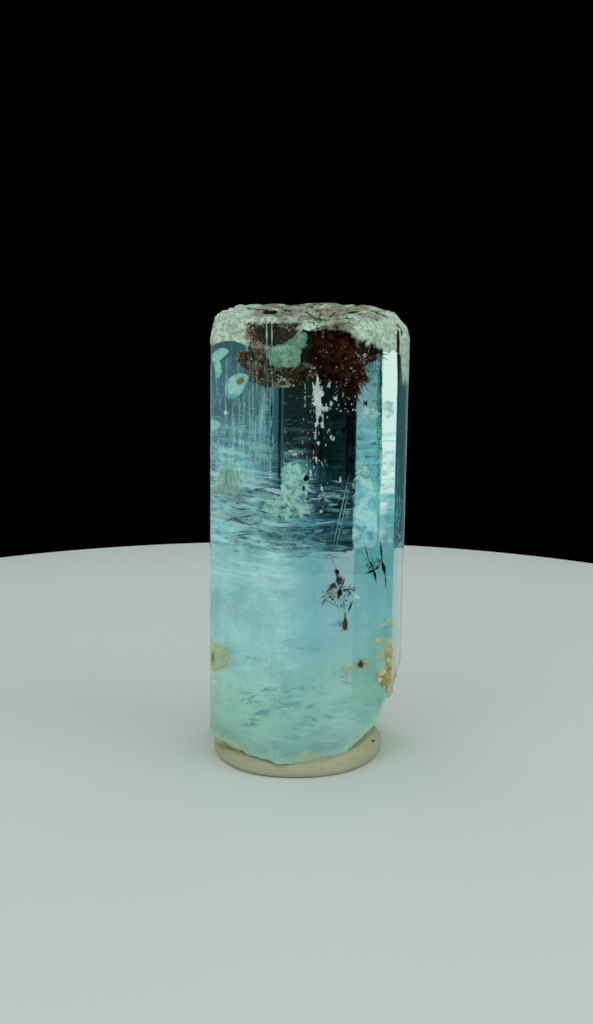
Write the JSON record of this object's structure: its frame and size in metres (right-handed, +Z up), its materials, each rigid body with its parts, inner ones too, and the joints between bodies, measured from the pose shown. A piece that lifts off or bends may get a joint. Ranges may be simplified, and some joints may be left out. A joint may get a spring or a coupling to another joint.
{
  "type": "aquamarine crystal specimen",
  "caption": "Clear blue six-sided prism of rough beryl with an etched, iron-stained top and a broken foot, standing upright in a pressed disc of display putty.",
  "frame": {"origin": "centre of the bounding box at its lowest face, on the surface the putty rests on", "axes": "+Z up along the length of the prism, -Y towards the long upright edge between the two broadest front faces, +X to the right seen from there"},
  "size_m": [0.017, 0.017, 0.0377],
  "materials": {
    "aquamarine": "clear pale blue prism faces with fine growth lines, etched and frosted on the top and the broken foot",
    "iron_oxide": "dull red-brown crust with small glittering plates",
    "putty": "matte pale grey-green mounting putty, slightly translucent at its thin edge"
  },
  "bodies": {
    "root": {"aquamarine_crystal": "aquamarine", "iron_oxide_crust": "iron_oxide", "display_putty": "putty"}
  },
  "joints": []
}
